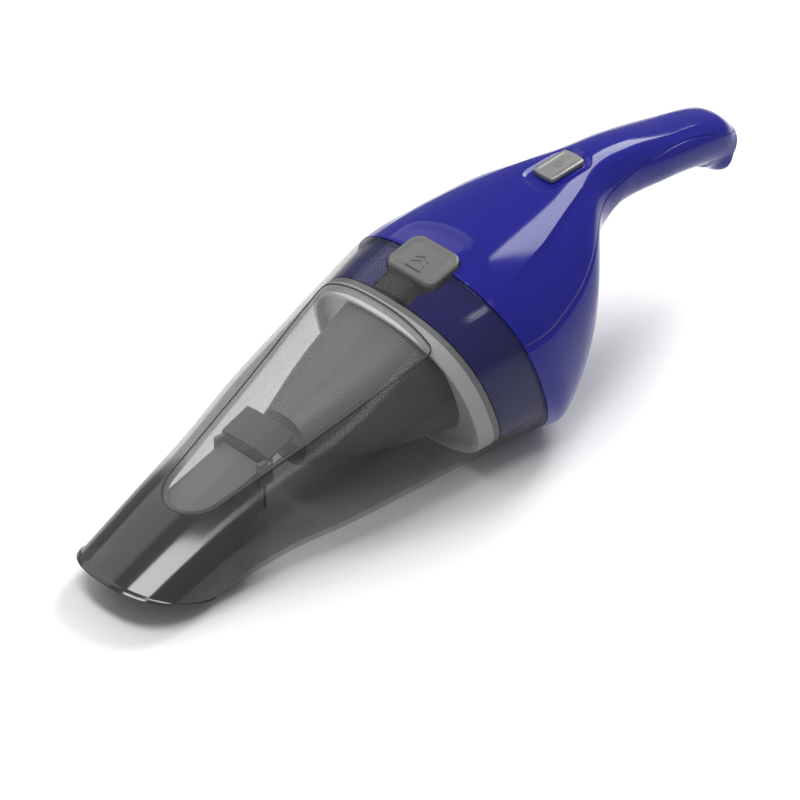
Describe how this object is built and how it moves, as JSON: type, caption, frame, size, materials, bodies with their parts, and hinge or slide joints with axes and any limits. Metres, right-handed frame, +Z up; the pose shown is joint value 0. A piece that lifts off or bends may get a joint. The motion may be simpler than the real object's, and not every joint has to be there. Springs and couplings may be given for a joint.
{
  "type": "cordless hand vacuum",
  "caption": "Cordless hand vacuum with a smoke-tinted dust bowl, slanted nozzle, lift-off filter, stick handle, slide switch and press-to-release bowl latch.",
  "frame": {"origin": "on the surface the vacuum rests on, below the middle of its length and width", "axes": "+X runs from the nozzle to the handle end, +Y to its side, +Z up"},
  "size_m": [0.418, 0.1248, 0.1174],
  "materials": {
    "smoke_plastic": "smooth translucent smoke tint",
    "clear_plastic": "smooth clear",
    "duct_plastic": "fine matte",
    "flap_rubber": "matte",
    "frame_plastic": "satin",
    "filter_fabric": "fine woven",
    "screen_plastic": "fine holed sheet",
    "seal_rubber": "matte",
    "blue_plastic": "smooth deep violet blue, satin gloss",
    "black_plastic": "matte moulded",
    "plain_steel": "plain bright",
    "end_cap_plastic": "matte",
    "ferrite": "dull dark",
    "copper": "dull copper",
    "cell_wrap": "shrink wrap",
    "board_green": "solder mask",
    "wire_cover": "soft cover",
    "grey_plastic": "satin"
  },
  "bodies": {
    "body": {"upper_shell": "blue_plastic", "lower_shell": "blue_plastic", "motor_bulkhead": "black_plastic", "intake_grille": "black_plastic", "fan_housing": "black_plastic", "motor_can": "plain_steel", "motor_end_cap": "end_cap_plastic", "motor_magnets": "ferrite", "motor_brushes": "ferrite", "front_bush": "copper", "rear_bush": "copper", "motor_mount": "seal_rubber", "cell_left": "cell_wrap", "cell_right": "cell_wrap", "cell_tabs": "plain_steel", "cell_cradle": "black_plastic", "circuit_board": "board_green", "charge_socket": "black_plastic", "charge_pin": "plain_steel", "switch_block": "black_plastic", "shell_screws": "plain_steel", "wire_harness": "wire_cover", "latch_spring": "plain_steel"},
    "bowl": {"dust_bowl": "smoke_plastic", "bowl_window": "clear_plastic", "inlet_duct": "duct_plastic", "flap_hood": "black_plastic", "flap_pin": "plain_steel"},
    "flap": {"inlet_flap": "flap_rubber"},
    "filter": {"filter_frame": "frame_plastic", "filter_screen": "screen_plastic", "filter_cup": "filter_fabric", "filter_seal": "seal_rubber"},
    "release": {"release_button": "grey_plastic", "latch_tongue": "black_plastic"},
    "switch": {"power_switch": "grey_plastic", "switch_slider": "black_plastic"},
    "rotor": {"motor_shaft": "plain_steel", "armature": "copper", "commutator": "copper", "fan_impeller": "black_plastic"}
  },
  "joints": [
    {"name": "bowl_off", "type": "slide", "parent": "body", "child": "bowl", "axis": [-1, 0, 0], "range_m": [0, 0.23]},
    {"name": "filter_off", "type": "slide", "parent": "body", "child": "filter", "axis": [-1, 0, 0], "range_m": [0, 0.1265]},
    {"name": "flap_swing", "type": "hinge", "parent": "bowl", "child": "flap", "pos_m": [-0.1154, 0, 0.0496], "axis": [0, -1, 0], "range_deg": [0, 40]},
    {"name": "release_press", "type": "slide", "parent": "body", "child": "release", "axis": [0, 0, -1], "range_m": [0, 0.0025], "stiffness_N_per_m": 800, "springref_m": -0.0005, "deforming": ["latch_spring"]},
    {"name": "switch_slide", "type": "slide", "parent": "body", "child": "switch", "axis": [-0.9976, 0, -0.0698], "range_m": [0, 0.006]},
    {"name": "rotor_spin", "type": "hinge", "parent": "body", "child": "rotor", "pos_m": [0.032, 0, 0.05], "axis": [1, 0, 0], "continuous": true}
  ],
  "couplings": [
    {"joint": "filter_off", "follows": "bowl_off", "ratio": 0.55}
  ]
}
